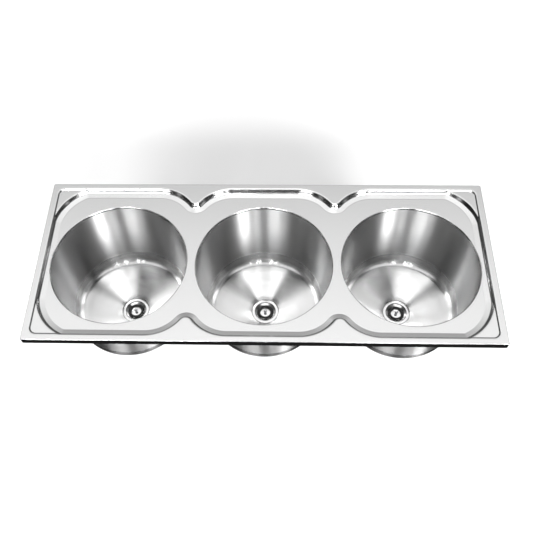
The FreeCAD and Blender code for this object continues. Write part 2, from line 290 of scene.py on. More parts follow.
def turned(name, profile, centre=(0.0, 0.0), count=96, angle=32, thread=None):
    # a closed profile of (radius, height) turned round the upright axis; radius 0 makes a pole
    points, rings, faces = [], [], []
    for radius, height in profile:
        if radius < 1e-6:
            rings.append([len(points)] * count)
            points.append((centre[0], centre[1], height))
            continue
        rings.append(list(range(len(points), len(points) + count)))
        for k in range(count):
            a = 2 * math.pi * k / count
            r = radius - threadCut(thread, radius, height, a)
            points.append((centre[0] + r * math.cos(a), centre[1] + r * math.sin(a), height))
    for ring, after in zip(rings, rings[1:] + rings[:1]):
        if ring[0] == ring[1] and after[0] == after[1]:
            continue
        for k in range(count):
            j = (k + 1) % count
            corners = [ring[k], ring[j], after[j], after[k]]
            faces.append([c for n, c in enumerate(corners) if c != corners[n - 1]])
    return makeMesh(name, points, faces, angle)


def roundAbout(centre, radius, start, end, count=6):
    angles = [math.radians(start + (end - start) * k / count) for k in range(count + 1)]
    return [(centre[0] + radius * math.cos(a), centre[1] + radius * math.sin(a)) for a in angles]


def eased(corners, radius=0.4, count=4):
    # a closed outline with its corners rounded; a third number in a corner is that corner's own radius
    outline = []
    for k, corner in enumerate(corners):
        here = Vector(corner[:2])
        reach = corner[2] if len(corner) > 2 else radius
        if not reach:
            outline.append(tuple(here))
            continue
        ways = [Vector(other[:2]) - here for other in (corners[k - 1], corners[(k + 1) % len(corners)])]
        start, end = (here + way * min(0.48, reach / way.length) for way in ways)
        for t in (n / count for n in range(count + 1)):
            outline.append(tuple(start * (1 - t) ** 2 + here * 2 * t * (1 - t) + end * t ** 2))
    return outline


def faceOutwards(mesh):
    shape = bmesh.new()
    shape.from_mesh(mesh)
    bmesh.ops.recalc_face_normals(shape, faces=shape.faces)
    shape.to_mesh(mesh)
    shape.free()
    return mesh


def extruded(name, outline, start, end, axis="z"):
    # an outline drawn square to an axis and carried along it
    where = {"x": lambda u, v, w: (w, u, v), "y": lambda u, v, w: (u, w, v), "z": lambda u, v, w: (u, v, w)}
    count = len(outline)
    points = [where[axis](u, v, w) for w in (start, end) for u, v in outline]
    faces = [(k, (k + 1) % count, (k + 1) % count + count, k + count) for k in range(count)]
    faces += [tuple(range(count)), tuple(range(count, 2 * count))]
    return faceOutwards(makeMesh(name, points, faces))


def placed(mesh, name, x=0.0, y=0.0, turn=0.0):
    copy = mesh.copy()
    copy.name = name
    copy.transform(Matrix.Translation((x * mm, y * mm, 0)) @ Matrix.Rotation(math.radians(turn), 4, "Z"))
    return copy


def together(name, meshes):
    shape = bmesh.new()
    for mesh in meshes:
        shape.from_mesh(mesh)
    joined = bpy.data.meshes.new(name)
    shape.to_mesh(joined)
    shape.free()
    return joined


def combined(name, mesh, operation, others, angle=32):
    # the mesh with the others cut out of it or welded to it, one after the other
    for other in others:
        first = bpy.data.objects.new("first", mesh)
        second = bpy.data.objects.new("second", other)
        for o in (first, second):
            bpy.context.scene.collection.objects.link(o)
        change = first.modifiers.new("change", "BOOLEAN")
        change.operation, change.object, change.solver = operation, second, "EXACT"
        shape = first.evaluated_get(bpy.context.evaluated_depsgraph_get())
        mesh = bpy.data.meshes.new_from_object(shape)
        for o in (first, second):
            bpy.data.objects.remove(o)
    mesh.name = name
    mesh.shade_smooth()
    mesh.set_sharp_from_angle(angle=math.radians(angle))
    return mesh


deckShape = {"sheet": 1.0, "border": 17.0, "firstDrop": 4.0, "secondDrop": 11.0, "corner": 18.0,
             "lobe": (130.0, 120.0, 131.0), "bay": 112.0, "tip": 16.0, "tipReach": 50.5,
             "mouth": 178.0, "mouthRound": 3.0, "mouthBand": 4.0, "collar": 6.0, "rimCorner": 4.0,
             "fold": 1.5, "returnLift": 2.0, "returnWidth": 10.0, "cornerRun": (8.0, 40.0)}
# how steeply each step falls, by distance inside its outline: soft shoulder, wall, foot, and a shallow skirt
firstStep = ((-5.0, 0.0), (-4.0, 0.03), (-1.2, 0.10), (0.6, 1.0), (1.6, 1.0), (3.6, 0.0))
secondStep = ((-5.0, 0.0), (-4.0, 0.03), (-1.2, 0.10), (0.6, 1.0), (4.2, 1.0), (6.6, 0.11), (18.4, 0.11),
              (19.8, -0.03), (20.8, -0.03), (21.8, 0.0))
contours = (-5.0, -4.5, -4.0, -3.0, -2.1, -1.2, -0.8, -0.4, 0.0, 0.3, 0.6, 1.1, 1.6, 2.2, 2.9, 3.6, 4.2, 4.7,
            5.2, 5.7, 6.2, 6.6, 9.5, 14.0, 18.4, 18.9, 19.4, 19.8, 20.8, 21.3, 21.8)
deckHigh = boxOf("deck")[1]
halfX, halfY, borderTop = deckHigh[0], deckHigh[1], deckHigh[2]
recessX, recessY = halfX - deckShape["border"], halfY - deckShape["border"]
deckFloor = borderTop - deckShape["firstDrop"] - deckShape["secondDrop"]
bowlAxes = [axisOf("bowl_" + side) for side in sides]
cuspX = abs(bowlAxes[2][0] - bowlAxes[1][0]) / 2
lobeX, lobeY = recessX - deckShape["lobe"][0], recessY - deckShape["lobe"][1]
bayY, tipY = recessY - deckShape["bay"], recessY - deckShape["tipReach"] + deckShape["tip"]
bayReach = math.sqrt((deckShape["bay"] + deckShape["tip"]) ** 2 - (tipY - bayY) ** 2)


def dropShare(inward, step):
    # share of a step's drop at a distance inside its outline
    share = np.zeros_like(inward)
    whole = 0.0
    for (start, before), (end, after) in zip(step, step[1:]):
        span = end - start
        t = np.clip(inward - start, 0, span)
        share += before * t + (after - before) * t * t / (2 * span)
        whole += (before + after) * span / 2
    return share / whole


def nearCusp(x, y):
    # whether a place is by one of the points between two bowls, and its distance inside the outline there
    across, y = np.abs(np.abs(x) - cuspX), np.abs(y)
    bay = deckShape["bay"] - np.hypot(across - bayReach, y - bayY)
    tip = np.hypot(across, y - tipY) - deckShape["tip"]
    share = (tipY - bayY) / (deckShape["bay"] + deckShape["tip"])
    tipSide = (tipY - y) >= across * share / math.sqrt(1 - share * share)
    return (across < bayReach) & (y > bayY), np.where(tipSide, tip, np.minimum(bay, recessY - y))


def insideFirst(x, y):
    # distance inside the first step's outline, a rounded rectangle with points between the bowls
    qx = np.abs(x) - recessX + deckShape["corner"]
    qy = np.abs(y) - recessY + deckShape["corner"]
    outside = np.hypot(np.maximum(qx, 0), np.maximum(qy, 0)) + np.minimum(np.maximum(qx, qy), 0)
    there, cusp = nearCusp(x, y)
    return np.where(there, cusp, deckShape["corner"] - outside)


def insideSecond(x, y):
    # distance inside the second step's outline, which has a large arc at each end of the outer bowls
    px, py = np.abs(x), np.abs(y)
    edge = np.minimum(recessX - px, recessY - py)
    lobe = deckShape["lobe"][2] - np.hypot(px - lobeX, py - lobeY)
    edge = np.where((px > lobeX) & (py > lobeY), np.minimum(edge, lobe), edge)
    there, cusp = nearCusp(x, y)
    return np.where(there, cusp, edge)


def deckHeight(x, y):
    return (borderTop - deckShape["firstDrop"] * dropShare(insideFirst(x, y), firstStep)
            - deckShape["secondDrop"] * dropShare(insideSecond(x, y), secondStep))


def spread(start, end, step):
    count = max(1, int(math.ceil(math.dist(start, end) / step)))
    return [(start[0] + (end[0] - start[0]) * k / count, start[1] + (end[1] - start[1]) * k / count)
            for k in range(count)]


def planArc(cx, cy, radius, start, end, step=2.2):
    count = max(3, int(math.ceil(abs(math.radians(end - start)) * radius / step)))
    return roundAbout((cx, cy), radius, start, end, count)


def joinUp(arcs, step=9.0):
    # a closed loop: each arc's points, then a straight run to the next arc
    loop = []
    for arc, after in zip(arcs, arcs[1:] + arcs[:1]):
        loop += arc[:-1] + spread(arc[-1], after[0], step)
    return loop


def secondLoop(inset):
    # the second step's outline, drawn in by an inset, anticlockwise from the right side
    x, y, radius = recessX - inset, recessY - inset, deckShape["lobe"][2] - inset
    fromSide = math.degrees(math.acos((x - lobeX) / radius))
    fromBack = math.degrees(math.asin((y - lobeY) / radius))
    lean = math.degrees(math.atan2(tipY - bayY, bayReach))
    bay, tip = deckShape["bay"] - inset, deckShape["tip"] + inset
    arcs = []
    for turn, sign in ((0, 1), (180, -1)):
        arcs.append(planArc(sign * lobeX, sign * lobeY, radius, fromSide + turn, fromBack + turn))
        for middle in (sign * cuspX, -sign * cuspX):
            arcs.append(planArc(middle + sign * bayReach, sign * bayY, bay, 90 + turn, 180 - lean + turn)
                        + planArc(middle, sign * tipY, tip, -lean + turn, lean - 180 + turn)[1:]
                        + planArc(middle - sign * bayReach, sign * bayY, bay, lean + turn, 90 + turn)[1:])
        arcs.append(planArc(-sign * lobeX, sign * lobeY, radius, 180 - fromBack + turn,
                            180 - fromSide + turn))
    return joinUp(arcs)


def cornerRuns(inset):
    # the first step's outline, only round the four corners, where it runs apart from the second
    x, y, radius = recessX - inset, recessY - inset, deckShape["corner"] - inset
    start = (x, lobeY + deckShape["cornerRun"][0])
    end = (lobeX + deckShape["cornerRun"][1], y)
    if radius > 0.3:
        bend = roundAbout((x - radius, y - radius), radius, 0, 90, 10)
    else:
        bend = [(x, y)]
    run = spread(start, bend[0], 4.0) + bend + spread(bend[-1], end, 4.0)[1:] + [end]
    return [[(sx * px, sy * py) for px, py in run] for sx in (1, -1) for sy in (1, -1)]


def planMesh():
    # one flat triangulation of the deck: its edges follow the steps' contours and the bowl mouths
    points, edges = [], []

    def follow(path, closed):
        first = len(points)
        points.extend(path)
        edges.extend((first + k, first + k + 1) for k in range(len(path) - 1))
        if closed:
            edges.append((len(points) - 1, first))

    follow(rimLoop(deckShape["fold"]), True)
    mouth = deckShape["mouth"] + deckShape["mouthRound"]
    for cx, cy in bowlAxes:
        follow(mouthLoop(cx, cy, mouth), True)
        follow(mouthLoop(cx, cy, mouth + deckShape["mouthBand"]), True)
    for inset in contours:
        follow(secondLoop(inset), True)
        for run in cornerRuns(inset):
            follow(run, False)
    made = delaunay_2d_cdt([Vector(p) for p in points], edges, [], 0, 1e-4)
    flat = np.array([tuple(v) for v in made[0]])
    faces = np.array(made[2])
    middle = flat[faces].mean(axis=1)
    keep = np.ones(len(faces), bool)
    for cx, cy in bowlAxes:
        keep &= np.hypot(middle[:, 0] - cx, middle[:, 1] - cy) > mouth - 0.5
    a, b, c = (flat[faces[:, k]] for k in range(3))
    area = (b[:, 0] - a[:, 0]) * (c[:, 1] - a[:, 1]) - (b[:, 1] - a[:, 1]) * (c[:, 0] - a[:, 0])
    faces = np.where((area < 0)[:, None], faces[:, ::-1], faces)
    return flat, faces[keep & (np.abs(area) > 1e-7)]


def rimLoop(inset):
    radius = max(deckShape["rimCorner"] - inset, 0.4)
    x, y = halfX - inset, halfY - inset
    arcs = [roundAbout((sx * (x - radius), sy * (y - radius)), radius, a, a + 90, 8)
            for sx, sy, a in ((1, 1, 0), (-1, 1, 90), (-1, -1, 180), (1, -1, 270))]
    loop = []
    for arc, after in zip(arcs, arcs[1:] + arcs[:1]):
        run = int(2 * halfX / 12) if abs(arc[-1][1] - after[0][1]) < 1e-6 else int(2 * halfY / 12)
        between = [(arc[-1][0] + (after[0][0] - arc[-1][0]) * k / run,
                    arc[-1][1] + (after[0][1] - arc[-1][1]) * k / run) for k in range(run)]
        loop += arc[:-1] + between
    return loop


mouthCount = 192


def mouthLoop(cx, cy, radius):
    return roundAbout((cx, cy), radius, 0, 360, mouthCount)[:-1]


def makeDeck():
    flat, faces = planMesh()
    x, y = flat[:, 0], flat[:, 1]
    height = deckHeight(x, y)
    step = 0.02
    slopeX = (deckHeight(x + step, y) - deckHeight(x - step, y)) / (2 * step)
    slopeY = (deckHeight(x, y + step) - deckHeight(x, y - step)) / (2 * step)
    normal = np.stack([-slopeX, -slopeY, np.ones_like(x)], 1)
    normal /= np.linalg.norm(normal, axis=1)[:, None]
    top = np.column_stack([flat, height])
    below = top - normal * deckShape["sheet"]
    count = len(top)
    points = [tuple(p) for p in np.vstack([top, below])]
    upper = [list(map(int, f)) for f in faces]
    lower = [[i + count for i in reversed(f)] for f in upper]
    allFaces = upper + lower
    skinNormals = np.vstack([normal, -normal])
    lookup = {(round(px, 2), round(py, 2)): k for k, (px, py) in enumerate(flat)}

    def indexOf(p):
        found = lookup.get((round(p[0], 2), round(p[1], 2)))
        if found is None:
            found = int(np.argmin((x - p[0]) ** 2 + (y - p[1]) ** 2))
        return found

    def sweep(loops, start, end):
        # quads from the loop of top points through each new loop to the loop of points below
        rows = [start]
        for loop in loops:
            rows.append(list(range(len(points), len(points) + len(loop))))
            points.extend(loop)
        rows.append(end)
        for row, after in zip(rows, rows[1:]):
            for k in range(len(row)):
                j = (k + 1) % len(row)
                allFaces.append([row[j], row[k], after[k], after[j]])

    sheet, fold, t = deckShape["sheet"], deckShape["fold"], borderTop
    lift, width = deckShape["returnLift"], deckShape["returnWidth"]
    section = [(fold - c, t - fold + s) for c, s in roundAbout((0, 0), fold, 90, 0, 6)[1:]]
    section += [(0.0, 0.45), (0.13, 0.13), (0.45, 0.0), (sheet, 0.0), (sheet, lift), (sheet + width, lift),
                (sheet + width, lift + sheet), (sheet, lift + sheet)]
    inner = fold - sheet
    section += [(fold - c, t - fold + s) for c, s in roundAbout((0, 0), inner, 0, 90, 4)[:-1]]
    startLoop = [indexOf(p) for p in rimLoop(fold)]
    loops = [[(px, py, z) for px, py in rimLoop(inset)] for inset, z in section]
    sweep(loops, startLoop, [k + count for k in startLoop])

    mouth, rounding = deckShape["mouth"], deckShape["mouthRound"]
    foot = deckFloor - deckShape["collar"]
    floor = deckFloor
    ring = mouth + rounding
    edge = roundAbout((ring, floor - rounding), rounding, 90, 180, 8)[1:]
    edge += [(mouth, foot), (mouth + sheet, foot)]
    edge += roundAbout((ring, floor - rounding), rounding - sheet, 180, 90, 6)[:-1]
    for cx, cy in bowlAxes:
        startLoop = [indexOf(p) for p in mouthLoop(cx, cy, ring)][::-1]
        loops = [[(px, py, z) for px, py in mouthLoop(cx, cy, radius)][::-1] for radius, z in edge]
        sweep(loops, startLoop, [k + count for k in startLoop])

    mesh = bpy.data.meshes.new("deck_skin")
    mesh.from_pydata([tuple(float(c) * mm for c in p) for p in points], [], allFaces)
    mesh.shade_smooth()
    mesh.set_sharp_from_angle(angle=math.radians(35))
    loopNormals = np.zeros((len(mesh.loops), 3))
    vertexOf = np.zeros(len(mesh.loops), np.int32)
    mesh.loops.foreach_get("vertex_index", vertexOf)
    skinVertex = vertexOf < 2 * count
    loopNormals[skinVertex] = skinNormals[vertexOf[skinVertex]]
    mesh.normals_split_custom_set([tuple(n) for n in loopNormals])
    return mesh


deck = addPiece("deck_sheet", makeDeck(), satin, "root", "deck_steel", "deck")
print("deck made with", len(deck.data.polygons), "faces")


bowlShape = {"wallFoot": (162.2, 49.7), "floorEdge": (142.7, 23.7), "seat": 39.4, "seatLip": 2.6,
             "hole": 31.5, "sheet": 1.0, "ring": 0.45}
# two shallow rings just above the corner round: height over it, and how much of the ring's depth stands in
bowlRings = ((9.0, 0), (8.0, 1), (6.6, 1), (5.6, 0), (3.0, 0), (2.2, 1), (0.9, 1))


def cornerRound(foot, edge, wallTurn, floorTurn, count):
    # points of the arc that turns from the wall into the floor
    sweep = math.pi / 2 + wallTurn + floorTurn
    span = math.dist(foot, edge)
    radius = span / 2 / math.sin(sweep / 2)
    direction = math.atan2(edge[1] - foot[1], edge[0] - foot[0])
    reach = radius * math.cos(sweep / 2)
    centre = ((foot[0] + edge[0]) / 2 + reach * math.sin(direction),
              (foot[1] + edge[1]) / 2 - reach * math.cos(direction))
    start = math.degrees(math.atan2(foot[1] - centre[1], foot[0] - centre[0]))
    return roundAbout(centre, radius, start, start - math.degrees(sweep), count), centre, radius


def makeBowl(side):
    cx, cy = axisOf("bowl_" + side)
    t = bowlShape["sheet"]
    top = (deckShape["mouth"], deckFloor - deckShape["collar"])
    seatHeight = boxOf("bowl_" + side)[0][2] + t
    foot = (bowlShape["wallFoot"][0], seatHeight + bowlShape["wallFoot"][1])
    edge = (bowlShape["floorEdge"][0], seatHeight + bowlShape["floorEdge"][1])
    seat = (bowlShape["seat"], seatHeight)
    rim = (seat[0], seat[1] + bowlShape["seatLip"])
    wallTurn = math.atan2(foot[0] - top[0], top[1] - foot[1])
    floorTurn = math.atan2(rim[1] - edge[1], edge[0] - rim[0])
    bend, centre, radius = cornerRound(foot, edge, wallTurn, floorTurn, 14)
    wall = [(top[0] + (foot[0] - top[0]) * k / 8, top[1] + (foot[1] - top[1]) * k / 8) for k in range(8)]
    ring = bowlShape["ring"]
    lean = math.tan(wallTurn)
    wall += [(foot[0] + up * lean - inward * ring, foot[1] + up) for up, inward in bowlRings]
    floor = [(edge[0] + (rim[0] + 1.2 - edge[0]) * k / 8, edge[1] + (rim[1] + 0.25 - edge[1]) * k / 8)
             for k in range(1, 9)]
    inside = wall + bend + floor + [(rim[0] - 0.2, rim[1] - 0.4), (seat[0] - 0.9, seat[1] + 0.3),
                                    (seat[0] - 1.6, seat[1]), (bowlShape["hole"], seat[1])]
    under = [(bowlShape["hole"], seat[1] - t), (seat[0], seat[1] - t), (seat[0] + 1.2, rim[1] - t),
             (edge[0], edge[1] - t)]
    outerBend = [(centre[0] + (p[0] - centre[0]) * (radius + t) / radius,
                  centre[1] + (p[1] - centre[1]) * (radius + t) / radius) for p in reversed(bend[:-1])]
    profile = inside + under + outerBend + [(top[0] + t, top[1])]
    mesh = turned("bowl_skin_" + side, profile, (cx, cy), mouthCount, 30)
    return addPiece("bowl_shell_" + side, mesh, drawn, "root", "bowl_steel", "bowl_" + side)


for side in sides:
    makeBowl(side)
print("bowls made")


def heightsOf(node):
    low, high = boxOf(node + "_left")
    return low[2], high[2]


def copies(name, mesh, material, slot, node, lifts=False):
    # the same piece at each of the three bowls
    for side in sides:
        body = "basket_body_" + side if lifts else "root"
        here = placed(mesh, name + "_" + side, *axisOf("bowl_" + side))
        addPiece(name + "_" + side, here, material, body, slot, node + "_" + side)


def rod(radius, low, high, x=0.0, y=0.0, count=48):
    return turned("rod", [(0, low), (radius, low), (radius, high), (0, high)], (x, y), count)


dishShape = {"flange": 38.0, "ledge": 30.0, "step": 2.4, "cone": 4.0, "throat": 21.7, "sheet": 1.0,
             "holes": 8, "hole": 3.0, "pitch": 14.0, "screwHole": 3.2}


def strainerDish():
    d, t = dishShape, dishShape["sheet"]
    foot, top = heightsOf("strainer_dish")
    ledge, throat = top - d["step"], top - d["step"] - d["cone"]
    profile = eased([(d["flange"], top - t, 0.45), (d["flange"], top, 0.45), (d["ledge"], top, 1.1),
                     (d["ledge"] - 1, ledge, 0.8), (d["throat"], throat, 1.6), (d["throat"], foot + t, 2.6),
                     (d["screwHole"], foot + t, 0.2), (d["screwHole"], foot, 0.2),
                     (d["throat"] + t, foot, 3.4), (d["throat"] + t, throat - 0.5, 1.4),
                     (d["ledge"], ledge - 0.5, 1.0), (d["ledge"], top - t, 0.5)])
    angles = [2 * math.pi * k / d["holes"] for k in range(d["holes"])]
    drills = [rod(d["hole"], foot - 1, foot + t + 1, d["pitch"] * math.cos(a), d["pitch"] * math.sin(a), 32)
              for a in angles]
    cup = combined("cup", turned("cup", profile), "DIFFERENCE", [together("drills", drills)])
    copies("strainer_cup", cup, polished, "waste_steel", "strainer_dish")


gasketShape = {"inner": 32.0, "flangeOuter": 37.5, "underOuter": 39.5, "edge": 0.35}


def gaskets():
    inner = gasketShape["inner"]
    for node, outer in (("flange_gasket", gasketShape["flangeOuter"]),
                        ("under_gasket", gasketShape["underOuter"])):
        low, high = heightsOf(node)
        corners = [(inner, low), (outer, low), (outer, high), (inner, high)]
        ring = turned("ring", eased(corners, gasketShape["edge"]))
        copies(node + "_ring", ring, cutRubber, "gasket_rubber", node)


bodyShape = {"flange": 41.0, "flangeThick": 3.0, "wall": 36.0, "inner": 33.0, "deep": 36.0, "taper": 14.0,
             "spigot": 23.9, "bore": 20.0, "boss": 7.0, "bossLength": 14.0, "rib": 1.5, "insert": 4.5,
             "pitch": 2.31, "depth": 1.1}


def wasteBody():
    # moulded body: flange, straight wall, cone, threaded spigot, and a boss for the screw on two crossed ribs
    d = bodyShape
    foot, top = heightsOf("waste_body")
    shoulder = top - d["deep"]
    neck = shoulder - d["taper"]
    thread = {"radius": d["spigot"], "low": foot + 1.2, "high": neck - 1.5, "pitch": d["pitch"],
              "depth": d["depth"]}
    profile = eased([(d["bore"], foot, 0.5), (d["spigot"] - 1.2, foot, 0.3)] + threadRows(thread)
                    + [(d["spigot"], neck, 1.0), (d["wall"], shoulder, 3.0),
                       (d["wall"], top - d["flangeThick"], 1.2), (d["flange"], top - d["flangeThick"], 0.7),
                       (d["flange"], top, 0.5), (d["inner"], top, 0.5), (d["inner"], shoulder, 3.0),
                       (d["bore"], neck, 1.5)])
    body = turned("body", profile, count=72, angle=55, thread=thread)
    bossTop = heightsOf("strainer_dish")[0]
    bossFoot, ribTop = bossTop - d["bossLength"], bossTop - 0.4
    boss = turned("boss", eased([(0, bossFoot, 0), (d["boss"], bossFoot, 0.8), (d["boss"], bossTop, 0.5),
                                 (0, bossTop, 0)]), count=48)
    rib = extruded("rib", eased([(-d["rib"], shoulder + 1, 0.3), (d["rib"], shoulder + 1, 0.3),
                                 (d["rib"], ribTop, 0.6), (-d["rib"], ribTop, 0.6)]),
                   -d["inner"] - 1, d["inner"] + 1, "x")
    body = combined("body", body, "UNION", [boss, rib, placed(rib, "rib", turn=90)], 55)
    drills = [rod(d["insert"], bossFoot - 1, bossTop - 1),
              rod(dishShape["screwHole"], bossTop - 2, bossTop + 1)]
    copies("waste_moulding", combined("body", body, "DIFFERENCE", drills, 55), mouldedPolypropylene,
           "waste_plastic", "waste_body")


screwShape = {"shank": 3.0, "head": 6.0, "headTall": 2.6, "slot": 0.6, "slotDeep": 1.0, "pitch": 1.0,
              "depth": 0.55}
clipScrewShape = {"shank": 2.4, "head": 4.5, "headTall": 2.5, "slot": 0.6, "slotDeep": 1.1, "pitch": 0.8,
                  "depth": 0.45}


def screwMesh(d, low, high):
    # a slotted screw with its head at the top
    headFoot = high - d["headTall"]
    thread = {"radius": d["shank"], "low": low + 0.6, "high": headFoot - 0.4, "pitch": d["pitch"],
              "depth": d["depth"]}
    profile = eased([(0, low, 0), (d["shank"] - 0.6, low, 0.1)] + threadRows(thread)
                    + [(d["shank"], headFoot, 0.2), (d["head"], headFoot, 0.3), (d["head"], high - 0.8, 0.7),
                       (d["head"] * 0.45, high, 1.5), (0, high, 0)])
    half, floor, over = d["slot"], high - d["slotDeep"], d["head"] + 1
    slot = extruded("slot", [(-half, floor), (half, floor), (half, high + 1), (-half, high + 1)],
                    -over, over, "x")
    shank = turned("screw", profile, count=36, angle=50, thread=thread)
    return combined("screw", shank, "DIFFERENCE", [slot], 50)


def wasteScrews():
    copies("waste_screw", screwMesh(screwShape, *heightsOf("clamp_screw")), brightStainless, "screw_steel",
           "clamp_screw")
    low, high = heightsOf("insert_nut")
    bore, outer = screwShape["shank"], bodyShape["insert"]
    corners = [(bore, low, 0.4), (outer, low, 0.3), (outer, high, 0.3), (bore, high, 0.4)]
    nut = turned("nut", eased(corners), count=48)
    copies("threaded_insert", nut, turnedBrass, "insert_brass", "insert_nut")


plugShape = {"thick": 1.2, "crown": 0.6, "washer": 2.0, "skirt": 15.2, "sheet": 0.8, "floor": 6.0,
             "stem": 2.2, "slots": 12, "slotWide": 2.6, "slotTall": 8.0}
sealShape = {"outer": 21.0, "bore": 15.0, "sleeve": 17.2, "lip": 1.0, "groove": 0.45}
knobShape = {"ball": 4.6, "stem": 2.2, "waist": 1.75, "foot": 3.1, "washer": 3.8}


def basketPieces():
    # the plug sits down inside the rubber seal, with the slotted basket wall under it
    d = plugShape
    foot = heightsOf("basket")[0]
    sealFoot, sealTop = heightsOf("basket_seal")
    plugFoot = heightsOf("basket_knob")[0] + d["washer"]
    rim = plugFoot + d["thick"]
    crown = rim + d["crown"]
    inside = d["skirt"] - d["sheet"]
    profile = eased([(d["floor"], foot, 0.2), (d["skirt"], foot, 1.6), (d["skirt"], rim, 0.3),
                     (d["skirt"] * 0.6, rim + 0.42, 4.0), (d["stem"], crown, 0), (d["stem"], plugFoot, 0),
                     (inside, plugFoot, 0.4), (inside, foot + d["sheet"], 1.2),
                     (d["floor"], foot + d["sheet"], 0.2)])
    half, tall = d["slotWide"] / 2, d["slotTall"] / 2
    middle = (plugFoot + foot) / 2
    outline = [(half * math.cos(a), middle + (tall - half) * (1 if a < math.pi else -1) + half * math.sin(a))
               for a in (2 * math.pi * (k + 0.5) / 20 for k in range(20))]
    cutter = extruded("slot", outline, inside - 2, d["skirt"] + 2, "x")
    cutters = [placed(cutter, "slot", turn=360 * k / d["slots"]) for k in range(d["slots"])]
    plug = combined("plug", turned("plug", profile), "DIFFERENCE", [together("slots", cutters)])
    copies("basket_plug", plug, polished, "waste_steel", "basket", True)

    outer, bore, groove, sleeve = (sealShape[k] for k in ("outer", "bore", "groove", "sleeve"))
    lipFoot, middle, crest = rim - sealShape["lip"], (sealFoot + sealTop) / 2, (outer + bore) / 2
    profile = eased([(d["skirt"], lipFoot, 0), (sleeve, lipFoot, 0.4), (sleeve, sealFoot, 0.6),
                     (outer - 1.2, sealFoot, 0.4), (outer - 0.1, sealFoot + 0.7, 0.5),
                     (outer - groove, middle, 0.25), (outer, sealTop - 0.6, 0.5), (outer - 0.9, sealTop, 0.5),
                     (crest + 0.5, sealTop, 0.2), (crest, sealTop - groove, 0.2), (crest - 0.5, sealTop, 0.2),
                     (bore, sealTop, 0.5), (bore, rim - 0.1, 0), (d["skirt"], rim - 0.1, 0)])
    copies("basket_ring", turned("ring", profile), mouldedRubber, "seal_rubber", "basket_seal", True)

    d = knobShape
    low, high = heightsOf("basket_knob")
    centre = high - d["ball"]
    neck = math.degrees(math.asin(-math.sqrt(1 - (d["stem"] / d["ball"]) ** 2)))
    ball = roundAbout((0, centre), d["ball"], neck, 90, 20)
    profile = eased([(0, low, 0), (d["washer"], low, 0.3), (d["washer"], plugFoot, 0),
                     (d["stem"], plugFoot, 0), (d["stem"], crown - 0.05, 0), (d["foot"], crown - 0.05, 0),
                     (d["foot"], crown + 0.5, 0.3), (d["waist"], crown + 1.4, 0.8),
                     (d["waist"], ball[0][1] - 1.2, 0.8)]
                    + [(r, z, 0) for r, z in ball[:-1]] + [(0, high, 0)])
    copies("basket_handle", turned("knob", profile, count=64), chrome, "knob_chrome", "basket_knob", True)


strainerDish()
gaskets()
wasteBody()
wasteScrews()
basketPieces()
print("wastes and baskets made")


railShape = {"lip": 3.0, "sheet": 1.0, "fold": 1.6}
clipShape = {"width": 11.0, "sheet": 2.0, "leg": 7.0, "arm": 32.0, "armLow": -32.0, "bend": 3.0, "boss": 4.6,
             "screwOut": 21.0, "places": (-440.0, -250.0, 250.0, 440.0)}


def rails():
    # a channel open downwards; its lips hold the heads of the clips
    for end in ("front", "back"):
        low, high = boxOf("clip_rail_" + end)
        t, lip, fold = railShape["sheet"], railShape["lip"], railShape["fold"]
        middle, half = (low[1] + high[1]) / 2, (high[1] - low[1]) / 2
        side = [(half - lip, low[2], 0.3), (half, low[2], fold), (half, high[2], fold)]
        inner = [(half - t, high[2] - t, fold - t), (half - t, low[2] + t, fold - t),
                 (half - lip, low[2] + t, 0.3)]
        right = inner + side
        outline = right + [(-y, z, r) for y, z, r in reversed(right)]
        outline = eased([(middle + y, z, r) for y, z, r in outline])
        addPiece("rail_" + end, extruded("rail_" + end, outline, low[0], high[0], "x"), millStainless, "root",
                 "rail_steel", "clip_rail_" + end)


def clips():
    d, t = clipShape, clipShape["sheet"]
    low, high = boxOf("fixing_clips")
    head, width, leg, out = high[2] - t, d["width"] / 2, d["leg"] / 2, d["screwOut"]
    floor = d["armLow"]
    strip = [(-t / 2, head + 0.1, 0), (-t / 2, floor, d["bend"]), (8, floor, 0), (8, floor + t, 0),
             (t / 2, floor + t, d["bend"] - t), (t / 2, head + 0.1, 0)]
    bent = extruded("bent", eased(strip), -leg, leg, "y")
    plate = [(3, -leg, 0), (7, -width, 2.5), (d["arm"], -width, 1.8), (d["arm"], width, 1.8),
             (7, width, 2.5), (3, leg, 0)]
    arm = extruded("arm", eased(plate), floor, floor + t)
    top = extruded("top", eased([(-width, -width), (width, -width), (width, width), (-width, width)], 1.2),
                   head, high[2])
    boss = turned("boss", eased([(0, low[2], 0), (d["boss"], low[2], 0.6), (d["boss"], floor + 1, 0),
                                 (0, floor + 1, 0)]), (out, 0), 40)
    clip = combined("clip", bent, "UNION", [arm, top, boss])
    drill = rod(clipScrewShape["shank"], low[2] - 1, floor + t + 1, out, 0, 32)
    clip = combined("clip", clip, "DIFFERENCE", [drill])
    screwLow, screwHigh = boxOf("clip_screws")
    # made head up, then turned over and set at its place in the arm
    screw = screwMesh(clipScrewShape, -screwHigh[2], -screwLow[2])
    screw.transform(Matrix.Translation((out * mm, 0, 0)) @ Matrix.Rotation(math.pi, 4, "X"))
    spots = [(x, axisOf("clip_rail_" + end)[1], 180 if x > 0 else 0)
             for end in ("front", "back") for x in d["places"]]
    sets = (("clips_parked", clip, zincPlated, "clip_steel", "fixing_clips"),
            ("clips_screws", screw, brightStainless, "screw_steel", "clip_screws"))
    for name, mesh, material, slot, node in sets:
        made = together(name, [placed(mesh, name, *spot) for spot in spots])
        addPiece(name, made, material, "root", slot, node)


sealStrip = {"wide": 9.0, "edge": 0.6}


